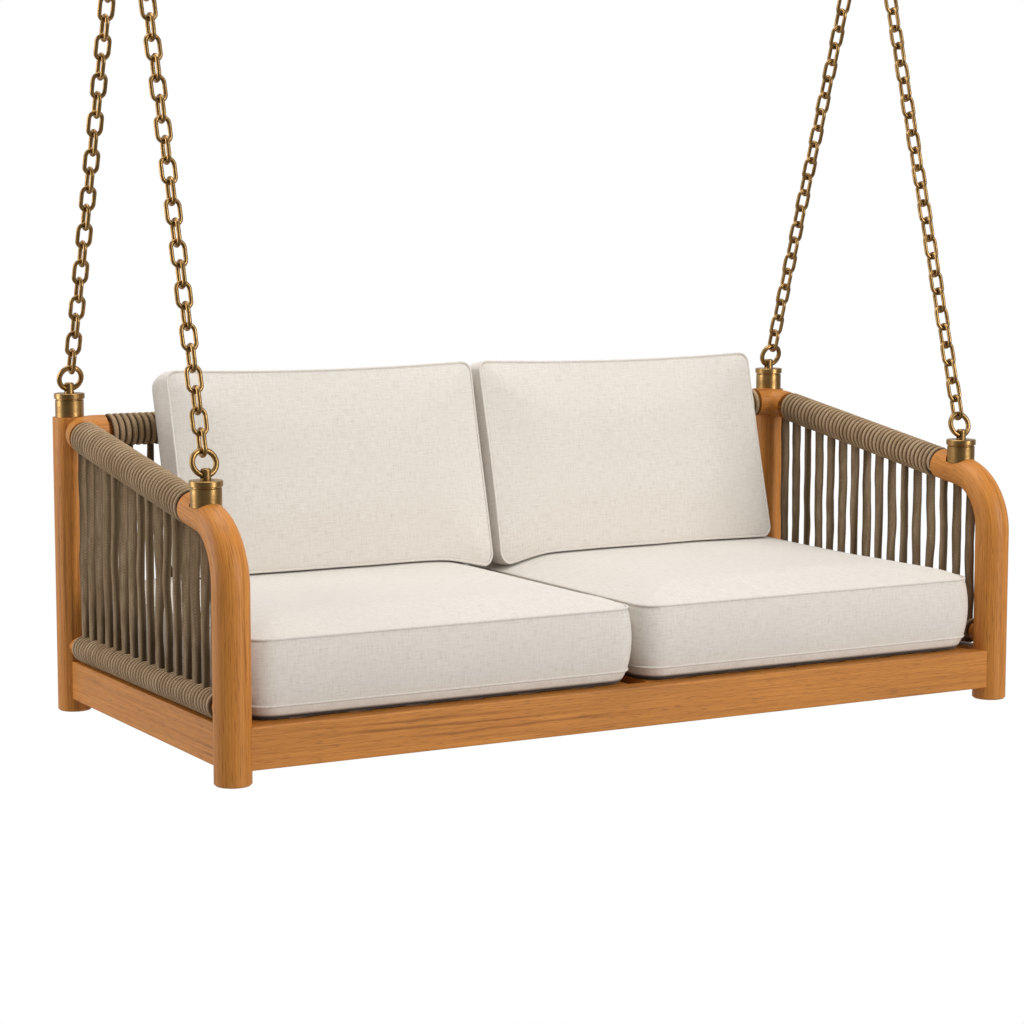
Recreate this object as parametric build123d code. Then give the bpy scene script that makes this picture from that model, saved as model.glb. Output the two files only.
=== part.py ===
import math
import os

from build123d import *

# Sizes in millimetres. The bench is drawn with its feet on Z = 0, X across the seat and Y towards
# its back. At the end everything moves so that the origin lies on the ceiling, between the plates.

# Posts, arms and top rail
post_span = 1640.0
post_depth = 780.0
post_dia = 66.0
rear_post_height = 574.0
foot_chamfer = 3.0
arm_dia = 60.0
arm_slope = 8.7
bend_radius = 112.0
bend_sections = 7
rear_rail_height = 548.0
rear_rail_setback = 30.0
elbow_radius = 42.0
arm_joint_lap = 46.0
dowel_dia = 16.0
dowel_length = 60.0

# Base rails, tenoned into the posts
rail_bottom = 25.0
rail_height = 75.0
rail_thick = 40.0
front_rail_proud = 22.0
side_rail_proud = 15.0
rail_edge_round = 2.5
tenon_depth = 20.0
tenon_thick = 16.0
tenon_shoulder = 12.0
joint_gap = 0.1

# Lower bars, let into the posts
bar_dia = 38.0
bar_height = 128.0
bar_socket = 12.0
rear_bar_setback = 12.0

# Seat deck
slat_count = 14
slat_width = 72.0
slat_thick = 20.0
slat_gap = 0.5
cleat_thick = 25.0
cleat_height = 40.0
bearer_width = 40.0
bearer_height = 45.0
screw_dia = 4.5
screw_head_dia = 9.0
screw_length = 38.0
screw_clearance = 0.1
cleat_screw_count = 4

# Cord
cord_dia = 11.6
cord_pitch = 13.0
cord_seat_gap = 0.3
loops_per_length = 24
arm_wrap_dia = 64.0
bar_wrap_dia = 50.0
arm_wrap_front = 162.0
arm_wrap_rear = 8.0
rear_wrap_margin = 16.0
bar_wrap_margin = 11.0
strand_dia = 14.0
strand_pitch = 43.0
side_strand_count = 16
rear_strand_count = 36
strand_sink = 8.0
strand_hole_gap = 0.2

# Cushions
seat_width = 771.0
seat_middle_gap = 8.0
seat_front_reach = 0.0
seat_depth = 735.0
seat_underside_gap = 0.3
seat_bottom_round = 26.0
seat_boxing = 116.0
seat_crown = 31.0
back_width = 674.0
back_middle_gap = 8.0
back_height = 410.0
back_boxing = 80.0
back_front_crown = 20.0
back_rear_crown = 12.0
back_lean = 14.5
cushion_corner = 34.0
cushion_draw_in = 6.0
cushion_rest_gap = 0.4

# Brass caps, eye studs and rings
cap_setback = 102.0
cap_dia = 55.0
cap_height = 46.0
cap_lip_dia = 59.0
cap_lip_height = 13.0
cap_groove_height = 2.0
cap_groove_depth = 1.2
cap_edge = 1.2
cap_seat_rise = 17.0
cap_seat_margin = 2.0
stud_head_dia = 19.0
stud_crown = 4.0
stud_shank_dia = 10.0
stud_bite = 34.0
stud_gap = 0.1
ring_mean_dia = 44.0
ring_wire = 10.0

# Chains and hangers
chain_wire = 8.0
chain_width = 33.0
chain_pitch = 36.0
link_gap = 0.3
apex_height = 1660.0
hang_y = 42.0
top_ring_mean_dia = 76.0
top_ring_wire = 10.0
eye_rise = 34.0
eye_width = 18.0
eye_dia = 30.0
pin_dia = 12.0
pin_running_gap = 0.05
pin_seat_gap = 0.1
pin_head_dia = 20.0
pin_head_height = 7.0
nut_flats = 19.0
nut_height = 9.0
ear_thick = 8.0
ear_side_gap = 0.5
ear_width = 36.0
ear_drop = 34.0
plate_length = 170.0
plate_width = 64.0
plate_thick = 8.0
plate_corner = 10.0
plate_hole_dia = 9.0
plate_hole_spacing = 130.0

# Places worked out from the sizes above
side_x = post_span / 2
front_y = -post_depth / 2
rear_y = post_depth / 2
post_r = post_dia / 2
rail_top = rail_bottom + rail_height
slope = math.radians(arm_slope)
back_rail_y = rear_y - rear_rail_setback
arm_up = Vector(0, math.cos(slope), math.sin(slope))
arm_corner = Vector(-side_x, back_rail_y, rear_rail_height)
bend_reach = bend_radius * math.tan((math.pi / 2 - slope) / 2)
bend_corner_z = rear_rail_height + (front_y - back_rail_y) * math.tan(slope)
bend_start_z = bend_corner_z - bend_reach
rear_bar_y = rear_y - rear_bar_setback
seat_top = rail_top + seat_underside_gap + seat_bottom_round + seat_boxing + seat_crown
cord_loss = 2 * (cord_dia + cord_seat_gap)
arm_core_dia = arm_wrap_dia - cord_loss
bar_core_dia = bar_wrap_dia - cord_loss
post_axes = [(x, y) for x in (-side_x, side_x) for y in (front_y, rear_y)]


def arm_point(y):
    # A point on the left arm's axis
    return Vector(-side_x, y, rear_rail_height + (y - back_rail_y) * math.tan(slope))


# Shapes that recur

def rod(start, end, dia):
    run = Vector(*end) - Vector(*start)
    return Solid.make_cylinder(dia / 2, run.length, Plane(origin=start, z_dir=run))


def block(low, high):
    size = [b - a for a, b in zip(low, high)]
    middle = [(a + b) / 2 for a, b in zip(low, high)]
    return Pos(*middle) * Box(*size)


def other_side(shape):
    return mirror(shape, about=Plane.YZ)


def post_blank(x, y, gap):
    return Pos(x, y, 0) * Cylinder(post_r + gap, rear_post_height, align=(Align.CENTER, Align.CENTER, Align.MIN))


def fit_tube(path_edges, start, along, dia):
    return sweep(Plane(origin=start, z_dir=along) * Circle(dia / 2), path=Wire(path_edges))


# Base rails. Each runs from post axis to post axis, is scribed round the posts and gets two tenons.

def tenon_heights():
    return rail_bottom + tenon_shoulder, rail_top - tenon_shoulder


def cross_tenons(middle_y, gap):
    # Tenons of a rail that runs along X
    low, high = tenon_heights()
    half = tenon_thick / 2 + gap
    depth = post_r - tenon_depth - gap
    inner = side_x - depth
    outer = side_x - post_r - tenon_shoulder
    blanks = []
    for side in (-1, 1):
        xs = sorted((side * inner, side * outer))
        blanks.append(block((xs[0], middle_y - half, low - gap), (xs[1], middle_y + half, high + gap)))
    return blanks


def side_tenons(middle_x, gap):
    # Tenons of a rail that runs along Y
    low, high = tenon_heights()
    half = tenon_thick / 2 + gap
    depth = post_r - tenon_depth - gap
    blanks = []
    for end_y in (front_y, rear_y):
        side = math.copysign(1, end_y)
        ys = sorted((end_y - side * depth, end_y - side * (post_r + tenon_shoulder)))
        blanks.append(block((middle_x - half, ys[0], low - gap), (middle_x + half, ys[1], high + gap)))
    return blanks


def scribed_rail(low, high, tenons):
    rail = block(low, high)
    long_edges = rail.edges().group_by(SortBy.LENGTH)[-1]
    rail = fillet(long_edges, rail_edge_round)
    for x, y in post_axes:
        rail = rail - post_blank(x, y, joint_gap)
    for tenon in tenons:
        rail = rail + tenon
    return rail


front_rail_middle = front_y - front_rail_proud + rail_thick / 2
rear_rail_middle = rear_y
side_rail_middle = side_x + side_rail_proud - rail_thick / 2


def cross_rail(middle_y):
    half = rail_thick / 2
    low = (-side_x, middle_y - half, rail_bottom)
    high = (side_x, middle_y + half, rail_top)
    return scribed_rail(low, high, cross_tenons(middle_y, 0))


def left_side_rail():
    half = rail_thick / 2
    low = (-side_rail_middle - half, front_y, rail_bottom)
    high = (-side_rail_middle + half, rear_y, rail_top)
    return scribed_rail(low, high, side_tenons(-side_rail_middle, 0))


# Centre bearer between the front and rear rails, with a stub tenon at each end

bearer_ends = (front_rail_middle + rail_thick / 2, rear_rail_middle - rail_thick / 2)
slat_bottom = rail_top - slat_thick


def bearer_blank(gap):
    half = bearer_width / 2
    low = (-half, bearer_ends[0], slat_bottom - bearer_height)
    high = (half, bearer_ends[1], slat_bottom)
    stub_half = tenon_thick / 2 + gap
    stub_reach = rail_thick / 2 + gap
    stub_low = (-stub_half, bearer_ends[0] - stub_reach, slat_bottom - bearer_height + tenon_shoulder - gap)
    stub_high = (stub_half, bearer_ends[1] + stub_reach, slat_bottom - tenon_shoulder + gap)
    return block(low, high) + block(stub_low, stub_high)


# Lower bars, thinner where the cord is wound on them

def lower_bar(start, end, margin):
    run = (end - start).normalized()
    core_start = start + run * margin
    core_end = end - run * margin
    ends = rod(start, core_start, bar_dia) + rod(core_end, end, bar_dia)
    return ends + rod(core_start, core_end, bar_core_dia)


bar_inset = post_r - bar_socket
side_bar_ends = (Vector(-side_x, front_y + bar_inset, bar_height), Vector(-side_x, rear_y - bar_inset, bar_height))
rear_bar_ends = (Vector(-side_x + bar_inset, rear_bar_y, bar_height), Vector(side_x - bar_inset, rear_bar_y, bar_height))
bar_margin = bar_socket + bar_wrap_margin


def bar_sockets():
    holes = []
    for start, end in (side_bar_ends, rear_bar_ends):
        run = (end - start).normalized() * joint_gap
        holes.append(rod(start - run, end + run, bar_dia + 2 * joint_gap))
    holes.append(other_side(holes[0]))
    return holes


# Arm bow: front post, tapering bend and arm rail in one piece

wrap_front = arm_point(front_y + arm_wrap_front)
elbow_start = arm_corner - arm_up * elbow_radius
wrap_rear = elbow_start - arm_up * arm_wrap_rear
arm_end = wrap_rear - arm_up * arm_joint_lap
bend_end = Vector(-side_x, front_y, bend_corner_z) + arm_up * bend_reach


def bend():
    middle = Vector(-side_x, front_y + bend_radius, bend_start_z)
    sections = []
    for k in range(bend_sections):
        share = k / (bend_sections - 1)
        turn = share * (math.pi / 2 - slope)
        out = Vector(0, -math.cos(turn), math.sin(turn))
        along = Vector(0, math.sin(turn), math.cos(turn))
        radius = (post_dia + share * (arm_dia - post_dia)) / 2
        place = Plane(origin=middle + out * bend_radius, x_dir=(1, 0, 0), z_dir=along)
        sections.append(place * Circle(radius))
    return loft(sections)


def cap_seat(x, y, seat_z, reach):
    # Spot face for a cap and the hole for its stud
    face = Pos(x, y, seat_z) * Cylinder(cap_dia / 2 + cap_seat_margin, reach, align=(Align.CENTER, Align.CENTER, Align.MIN))
    hole = rod((x, y, seat_z - stud_bite - stud_gap), (x, y, seat_z + joint_gap), stud_shank_dia + 2 * stud_gap)
    return face + hole


front_cap_y = front_y + cap_setback
front_cap_z = arm_point(front_cap_y).Z + cap_seat_rise
rear_cap_z = rear_post_height


def post_mortises():
    cuts = cross_tenons(front_rail_middle, joint_gap) + cross_tenons(rear_rail_middle, joint_gap)
    cuts = cuts + side_tenons(-side_rail_middle, joint_gap)
    return cuts + bar_sockets()


def left_arm_bow():
    foot = (-side_x, front_y, 0)
    post = chamfer(rod(foot, (-side_x, front_y, bend_start_z), post_dia).edges().sort_by(Axis.Z)[0], foot_chamfer)
    bow = post + bend() + rod(bend_end, wrap_front, arm_dia) + rod(wrap_front, arm_end, arm_core_dia)
    bow = bow - cap_seat(-side_x, front_cap_y, front_cap_z, arm_dia)
    bow = bow - rod(arm_end - arm_up * (dowel_length / 2), arm_end, dowel_dia + 2 * joint_gap)
    for cut in post_mortises() + strand_holes(side_strands()):
        bow = bow - cut
    return bow


# Rear top rail with a bent elbow at each end

def elbow():
    across = Vector(1, 0, 0)
    middle = arm_corner + (across - arm_up) * elbow_radius
    arc_mid = middle - (across - arm_up).normalized() * elbow_radius
    arc_end = arm_corner + across * elbow_radius
    bare_end = Vector(-side_x + elbow_radius + rear_wrap_margin, back_rail_y, rear_rail_height)
    path = [Line(wrap_rear, elbow_start), ThreePointArc(elbow_start, arc_mid, arc_end), Line(arc_end, bare_end)]
    return fit_tube(path, wrap_rear, arm_up, arm_dia), bare_end


def rear_top_rail():
    bare, bare_end = elbow()
    stub = rod(wrap_rear, arm_end, arm_core_dia)
    stub = stub - rod(arm_end, arm_end + arm_up * (dowel_length / 2), dowel_dia + 2 * joint_gap)
    half = bare + stub
    core = rod(bare_end, (-bare_end.X, bare_end.Y, bare_end.Z), arm_core_dia)
    rail = half + core + other_side(half)
    for cut in strand_holes(rear_strands()) + strand_holes(side_strands()):
        rail = rail - cut
    for cut in strand_holes(side_strands()):
        rail = rail - other_side(cut)
    return rail


def left_rear_post():
    post = chamfer(post_blank(-side_x, rear_y, 0).edges().sort_by(Axis.Z)[0], foot_chamfer)
    post = post - cap_seat(-side_x, rear_y, rear_cap_z, arm_dia)
    post = post - elbow()[0]
    for cut in post_mortises():
        post = post - cut
    return post


# Strands: straight lengths of cord from the lower bars up to the rails. Under the bare wood they
# go into drilled holes, and elsewhere they stop against the cord that is wound on the rail.

strand_r = strand_dia / 2
strand_foot_z = bar_height + bar_wrap_dia / 2 + cord_seat_gap


def arm_underside(y):
    # Lowest wood above a point below the left arm
    if y < bend_end.Y:
        inner = bend_radius - arm_dia / 2
        return bend_start_z + math.sqrt(inner ** 2 - (y - front_y - bend_radius) ** 2)
    return arm_point(y).Z - arm_dia / 2 / math.cos(slope)


def side_strands():
    # Foot, top and whether the top is in bare wood, for each strand on the left
    first = -(side_strand_count - 1) * strand_pitch / 2
    lines = []
    for k in range(side_strand_count):
        y = first + k * strand_pitch
        bare = y - strand_r < wrap_front.Y or y + strand_r > wrap_rear.Y
        wrap_z = arm_point(y - strand_r).Z - (arm_wrap_dia / 2 + cord_seat_gap) / math.cos(slope)
        top_z = arm_underside(y) + strand_sink if bare else wrap_z
        lines.append((Vector(-side_x, y, strand_foot_z), Vector(-side_x, y, top_z), bare))
    return lines


def rear_strands():
    first = -(rear_strand_count - 1) * strand_pitch / 2
    lean = math.atan2(rear_rail_setback - rear_bar_setback, rear_rail_height - bar_height)
    tip = strand_r * math.sin(lean)
    lines = []
    for k in range(rear_strand_count):
        x = first + k * strand_pitch
        bare = abs(x) + strand_r > side_x - elbow_radius - rear_wrap_margin
        wood_z = rear_rail_height - arm_dia / 2 + strand_sink
        wrap_z = rear_rail_height - arm_wrap_dia / 2 - cord_seat_gap - tip
        top = Vector(x, back_rail_y, wood_z if bare else wrap_z)
        lines.append((Vector(x, rear_bar_y, strand_foot_z + tip), top, bare))
    return lines


def strand_holes(lines):
    holes = []
    for foot, top, bare in lines:
        if bare:
            up = (top - foot).normalized()
            below = top - up * (strand_sink + strand_dia)
            holes.append(rod(below, top + up * strand_hole_gap, strand_dia + 2 * strand_hole_gap))
    return holes


def strands(lines):
    return [rod(foot, top, strand_dia) for foot, top, _ in lines]


# Cord windings. Each is made of lengths that follow on one another, wound as a helix.

def biarc(p0, t0, p1, t1):
    # Two arcs from p0 to p1 that leave along t0 and arrive along t1
    chord = p1 - p0
    pull = chord.dot(t0 + t1)
    bend_share = 2 * (1 - t0.dot(t1))
    reach = (math.sqrt(pull ** 2 + bend_share * chord.dot(chord)) - pull) / bend_share
    knee0 = p0 + t0 * reach
    knee1 = p1 - t1 * reach
    join = (knee0 + knee1) * 0.5
    return [TangentArc(p0, join, tangent=t0), TangentArc(join, p1, tangent=knee1 - knee0)]


def helix_at(place, radius, pitch, turn):
    # Point and direction on a helix about the plane's axis
    angle = 2 * math.pi * turn
    point = Vector(radius * math.cos(angle), radius * math.sin(angle), pitch * turn)
    along = Vector(-radius * math.sin(angle), radius * math.cos(angle), pitch / (2 * math.pi))
    return place.from_local_coords(point), (place.from_local_coords(along) - place.origin).normalized()


def wound_length(place, radius, pitch, first_turn, last_turn):
    half_turns = math.ceil(2 * (last_turn - first_turn))
    stops = [first_turn + (last_turn - first_turn) * k / half_turns for k in range(half_turns + 1)]
    marks = [helix_at(place, radius, pitch, stop) for stop in stops]
    start, start_along = marks[0]
    end, end_along = marks[-1]
    path = [Line(start - start_along * cord_dia, start)]
    for (p0, t0), (p1, t1) in zip(marks, marks[1:]):
        path = path + biarc(p0, t0, p1, t1)
    path.append(Line(end, end + end_along * cord_dia))
    return fit_tube(path, start - start_along * cord_dia, start_along, cord_dia)


def least_self_gap(radius, pitch, turns):
    # Distance between neighbouring turns, on points of the helix and its straight ends
    per_turn = 24
    place = Plane.XY
    steps = int(turns * per_turn)
    points = [helix_at(place, radius, pitch, k / per_turn)[0] for k in range(steps + 1)]
    start, start_along = helix_at(place, radius, pitch, 0)
    end, end_along = helix_at(place, radius, pitch, turns)
    points = [start - start_along * cord_dia, start - start_along * (cord_dia / 2)] + points
    points = points + [end + end_along * (cord_dia / 2), end + end_along * cord_dia]
    least = math.inf
    for k, point in enumerate(points):
        for other in points[k + per_turn // 2:k + 2 * per_turn]:
            least = min(least, (point - other).length)
    return least - cord_dia


def winding(name, start, end, core_dia, inner_side):
    # Cord wound on the core between two points, with its joins towards the inner side
    run = end - start
    loops = round((run.length - cord_dia) / cord_pitch)
    pitch = (run.length - cord_dia) / loops
    lengths = math.ceil(loops / loops_per_length)
    radius = core_dia / 2 + cord_seat_gap + cord_dia / 2
    join_share = (cord_dia / radius) / (2 * math.pi) + cord_seat_gap / radius
    place = Plane(origin=start + run.normalized() * (cord_dia / 2), x_dir=inner_side, z_dir=run)
    stops = [round(loops * k / lengths) for k in range(lengths + 1)]
    cords = []
    for first, last in zip(stops, stops[1:]):
        cords.append(wound_length(place, radius, pitch, first + join_share, last - join_share))
    gap = least_self_gap(radius, pitch, stops[1] - 2 * join_share)
    print(f"{name}: {loops} loops in {lengths} lengths, least gap {gap:.2f} mm")
    return cords


# Seat deck

def slat_places():
    inner = side_rail_middle - rail_thick / 2
    step = 2 * inner / slat_count
    return [-inner + step * (k + 0.5) for k in range(slat_count)]


def deck_screw(point, direction):
    # Countersunk screw with its head flush at the point
    sink = (screw_head_dia - screw_dia) / 2
    point = Vector(*point)
    direction = Vector(*direction)
    shank = rod(point + direction * sink, point + direction * screw_length, screw_dia)
    return shank + Plane(origin=point, z_dir=direction) * countersink_cone(sink)


def countersink_cone(sink):
    return Cone(screw_head_dia / 2, screw_dia / 2, sink, align=(Align.CENTER, Align.CENTER, Align.MIN))


def screw_hole(point, direction):
    sink = (screw_head_dia - screw_dia) / 2
    point = Vector(*point)
    direction = Vector(*direction)
    bore = screw_dia + 2 * screw_clearance
    hole = rod(point, point + direction * (screw_length + screw_clearance), bore)
    wide = Cone(screw_head_dia / 2 + screw_clearance, bore / 2, sink, align=(Align.CENTER, Align.CENTER, Align.MIN))
    return hole + Plane(origin=point, z_dir=direction) * wide


def slat_screw_places():
    ys = (bearer_ends[0] + cleat_thick / 2, bearer_ends[1] - cleat_thick / 2)
    return [((x, y, rail_top), (0, 0, -1)) for x in slat_places() for y in ys]


def cleat_screw_places():
    inner = side_x - post_r
    half_run = inner - bearer_width / 2
    step = half_run / cleat_screw_count
    z = slat_bottom - cleat_height * 0.7
    places = []
    for side in (-1, 1):
        for k in range(cleat_screw_count):
            x = side * (bearer_width / 2 + step * (k + 0.5))
            places.append(((x, bearer_ends[0] + cleat_thick, z), (0, -1, 0)))
            places.append(((x, bearer_ends[1] - cleat_thick, z), (0, 1, 0)))
    return places


def slats():
    low_y = bearer_ends[0] + slat_gap
    high_y = bearer_ends[1] - slat_gap
    boards = []
    for x in slat_places():
        board = block((x - slat_width / 2, low_y, slat_bottom), (x + slat_width / 2, high_y, rail_top))
        for point, direction in slat_screw_places():
            if abs(point[0] - x) < slat_width / 2:
                board = board - screw_hole(point, direction)
        boards.append(board)
    return boards


def cleats(near, far):
    # A cleat on each side of the bearer, between it and the posts
    inner = side_x - post_r
    low_y, high_y = sorted((near, far))
    pieces = []
    for side in (-1, 1):
        xs = sorted((side * (bearer_width / 2 + slat_gap), side * (inner - slat_gap)))
        piece = block((xs[0], low_y, slat_bottom - cleat_height), (xs[1], high_y, slat_bottom))
        for point, direction in slat_screw_places() + cleat_screw_places():
            if xs[0] < point[0] < xs[1] and low_y - 1 < point[1] < high_y + 1:
                piece = piece - screw_hole(point, direction)
        pieces.append(piece)
    return pieces


# Cushions: outlines with rounded corners and drawn-in sides, lofted from underside to crown

def cushion_outline(low, high, inset, corner):
    x0, y0, x1, y1 = low[0] + inset, low[1] + inset, high[0] - inset, high[1] - inset
    c = corner
    draw = cushion_draw_in
    mx, my = (x0 + x1) / 2, (y0 + y1) / 2
    k = c * (1 - math.sqrt(0.5))
    edges = [
        ThreePointArc((x0 + c, y0), (mx, y0 + draw), (x1 - c, y0)),
        ThreePointArc((x1 - c, y0), (x1 - k, y0 + k), (x1, y0 + c)),
        ThreePointArc((x1, y0 + c), (x1 - draw, my), (x1, y1 - c)),
        ThreePointArc((x1, y1 - c), (x1 - k, y1 - k), (x1 - c, y1)),
        ThreePointArc((x1 - c, y1), (mx, y1 - draw), (x0 + c, y1)),
        ThreePointArc((x0 + c, y1), (x0 + k, y1 - k), (x0, y1 - c)),
        ThreePointArc((x0, y1 - c), (x0 + draw, my), (x0, y0 + c)),
        ThreePointArc((x0, y0 + c), (x0 + k, y0 + k), (x0 + c, y0)),
    ]
    return make_face(Wire(edges))


crown_steps = ((0.0, 0.0), (0.05, 0.42), (0.13, 0.76), (0.22, 0.94), (0.32, 1.0))


def crowned(low, high, levels):
    return loft([Pos(0, 0, z) * cushion_outline(low, high, inset, cushion_corner) for z, inset in levels], ruled=True)


def right_seat_cushion():
    low = (seat_middle_gap / 2, front_y - seat_front_reach)
    high = (low[0] + seat_width, low[1] + seat_depth)
    floor = rail_top + seat_underside_gap
    seam = floor + seat_bottom_round
    top_seam = seam + seat_boxing
    short = min(seat_width, seat_depth)
    levels = [(floor, seat_bottom_round), (floor + seat_bottom_round * 0.3, seat_bottom_round * 0.3), (seam, 0)]
    levels = levels + [(top_seam + seat_crown * rise, short * share) for share, rise in crown_steps]
    return crowned(low, high, levels)


def crown_rise(share):
    # Share of the crown's height reached at a share of the cushion's width in from its edge
    for (near, low), (far, high) in zip(crown_steps, crown_steps[1:]):
        if share <= far:
            return low + (high - low) * (share - near) / (far - near)
    return 1.0


def right_back_cushion():
    # Drawn flat with its front face up, then leaned back on the top rail
    lean = math.radians(back_lean)
    rest_z = seat_top + cushion_rest_gap
    low_x = back_middle_gap / 2
    short = min(back_width, back_height)
    rail_rise = rear_rail_height - rest_z
    rail_share = (back_height - rail_rise / math.cos(lean) - back_boxing * math.tan(lean)) / short
    thick = back_boxing + back_rear_crown * crown_rise(rail_share)
    to_rail = thick + arm_wrap_dia / 2 + cushion_rest_gap
    bottom_y = back_rail_y - (to_rail + rail_rise * math.sin(lean)) / math.cos(lean)
    levels = [(-back_boxing - back_rear_crown * rise, short * share) for share, rise in reversed(crown_steps)]
    levels = levels + [(back_front_crown * rise, short * share) for share, rise in crown_steps]
    sections = []
    for depth, inset in levels:
        foot = -min(depth, 0) * math.tan(lean)
        low = (low_x, foot)
        high = (low_x + back_width, back_height)
        sections.append(Pos(0, 0, depth) * cushion_outline(low, high, inset, cushion_corner))
    flat = loft(sections, ruled=True)
    forward = Vector(0, -math.cos(lean), math.sin(lean))
    return Plane(origin=(0, bottom_y, rest_z), x_dir=(1, 0, 0), z_dir=forward).location * flat


# Brass caps, eye studs and drop rings

cap_places = [("front", front_cap_y, front_cap_z), ("rear", rear_y, rear_cap_z)]
ring_r = ring_mean_dia / 2


def cap(x, y, z):
    lip_bottom = cap_height - cap_lip_height
    base = Align.CENTER, Align.CENTER, Align.MIN
    body = Cylinder(cap_dia / 2, lip_bottom, align=base)
    neck = Cylinder(cap_dia / 2 - cap_groove_depth, cap_height, align=base)
    lip = Pos(0, 0, lip_bottom + cap_groove_height) * Cylinder(cap_lip_dia / 2, cap_lip_height - cap_groove_height, align=base)
    lip = chamfer(lip.edges(), cap_edge)
    shell = chamfer(body.edges().sort_by(Axis.Z)[-1], cap_edge) + neck + lip
    bore = Cylinder(stud_shank_dia / 2 + stud_gap, cap_height, align=base)
    return Pos(x, y, z) * (shell - bore)


def ring_sag(ring_mean_r, half_width):
    # How far a ring's wire rises between its lowest point and the lug's face
    return ring_mean_r - math.sqrt(ring_mean_r ** 2 - half_width ** 2)


def lug_bore(ring_mean_r, half_width, wire):
    # Radius of a straight hole that the ring's curved wire passes with room to tip
    slant = math.cos(math.asin(half_width / ring_mean_r))
    return wire / 2 / slant + ring_sag(ring_mean_r, half_width) / 2 + 2 * link_gap


stud_bore = lug_bore(ring_r, stud_head_dia / 2, ring_wire)
stud_eye_rise = stud_bore + stud_crown / 2
stud_head_height = stud_eye_rise + stud_bore + stud_crown


def ring_foot(z):
    # Height of the ring's lowest wire middle above a cap seated at z
    return z + cap_height + stud_eye_rise - ring_sag(ring_r, stud_head_dia / 2) / 2


def eye_stud(x, y, z):
    top = z + cap_height
    head = rod((x, y, top), (x, y, top + stud_head_height), stud_head_dia)
    head = fillet(head.edges().sort_by(Axis.Z)[-1], stud_crown)
    eye = top + stud_eye_rise
    head = head - rod((x - stud_head_dia, y, eye), (x + stud_head_dia, y, eye), 2 * stud_bore)
    return head + rod((x, y, z - stud_bite), (x, y, top), stud_shank_dia)


def ring_in(middle, normal, mean_r, wire):
    return Solid.make_torus(mean_r, wire / 2, Plane(origin=middle, z_dir=normal))


# Chains: from each drop ring to the ring that hangs from the ceiling

apex = (hang_y, apex_height)
top_ring_r = top_ring_mean_dia / 2


def chain_line(y, z):
    # Lug eye, unit direction and length to the top ring's middle
    foot = Vector(-side_x, y, ring_foot(z))
    run = Vector(-side_x, *apex) - foot
    return foot, run.normalized(), run.length


def drop_ring(y, z):
    foot, along, _ = chain_line(y, z)
    return ring_in(foot + along * ring_r, along.cross(Vector(1, 0, 0)), ring_r, ring_wire)


def chain_link(pitch):
    # One link along Z, wide along X
    end_r = (chain_width - chain_wire) / 2
    tall = pitch + chain_wire + link_gap - 2 * end_r
    outline = (Plane.XZ * Rot(0, 0, 90) * SlotCenterToCenter(tall, 2 * end_r)).wire()
    return sweep(Pos(end_r, 0, 0) * Circle(chain_wire / 2), path=outline)


def chain(y, z):
    foot, along, length = chain_line(y, z)
    low = 2 * ring_r - (ring_wire + chain_wire) / 2 - link_gap
    high = length - top_ring_r + (top_ring_wire + chain_wire) / 2 + link_gap
    run = high - low - chain_wire - link_gap
    count = 2 * round(run / (2 * chain_pitch))
    pitch = run / count
    link = chain_link(pitch)
    half = (pitch + chain_wire + link_gap) / 2
    across = Vector(1, 0, 0)
    links = []
    for k in range(count):
        wide = across if k % 2 else along.cross(across)
        place = Plane(origin=foot + along * (low + half + k * pitch), x_dir=wide, z_dir=along)
        links.append(place.location * link)
    print(f"chain at y {y:.0f}: {count} links, pitch {pitch:.2f} mm")
    return links


# Ceiling hangers

ring_top = apex_height + top_ring_r
eye_bore = lug_bore(top_ring_r, eye_width / 2, top_ring_wire)
eye_low = ring_top - ring_sag(top_ring_r, eye_width / 2) / 2
pivot_z = eye_low + eye_bore + eye_rise
ceiling_z = pivot_z + ear_drop
ear_inner = eye_width / 2 + ear_side_gap
ear_outer = ear_inner + ear_thick


def hanger_eye():
    # Boss on the pivot pin above, eye across it below for the top ring
    x = -side_x
    half = eye_width / 2
    boss = rod((x - half, hang_y, pivot_z), (x + half, hang_y, pivot_z), eye_dia)
    neck = block((x - half, hang_y - half, eye_low), (x + half, hang_y + half, pivot_z))
    foot = rod((x, hang_y - half, eye_low), (x, hang_y + half, eye_low), eye_dia)
    eye = boss + neck + foot
    eye = eye - rod((x - eye_dia, hang_y, pivot_z), (x + eye_dia, hang_y, pivot_z), pin_dia + 2 * pin_running_gap)
    return eye - rod((x, hang_y - eye_dia, eye_low), (x, hang_y + eye_dia, eye_low), 2 * eye_bore)


def pin_seat_holes():
    x = -side_x
    reach = 2 * ear_outer
    return rod((x - reach, hang_y, pivot_z), (x + reach, hang_y, pivot_z), pin_dia + 2 * pin_seat_gap)


def ceiling_plate():
    x = -side_x
    plate = Pos(x, hang_y, ceiling_z - plate_thick) * extrude(
        RectangleRounded(plate_width, plate_length, plate_corner), amount=plate_thick)
    for spot in (-plate_hole_spacing / 2, plate_hole_spacing / 2):
        top = (x, hang_y + spot, ceiling_z)
        bottom = (x, hang_y + spot, ceiling_z - plate_thick)
        plate = plate - rod(bottom, top, plate_hole_dia)
    for low, high in ((-ear_outer, -ear_inner), (ear_inner, ear_outer)):
        ear = block((x + low, hang_y - ear_width / 2, pivot_z), (x + high, hang_y + ear_width / 2, ceiling_z - plate_thick))
        ear = ear + rod((x + low, hang_y, pivot_z), (x + high, hang_y, pivot_z), ear_width)
        plate = plate + (ear - pin_seat_holes())
    return plate


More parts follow.
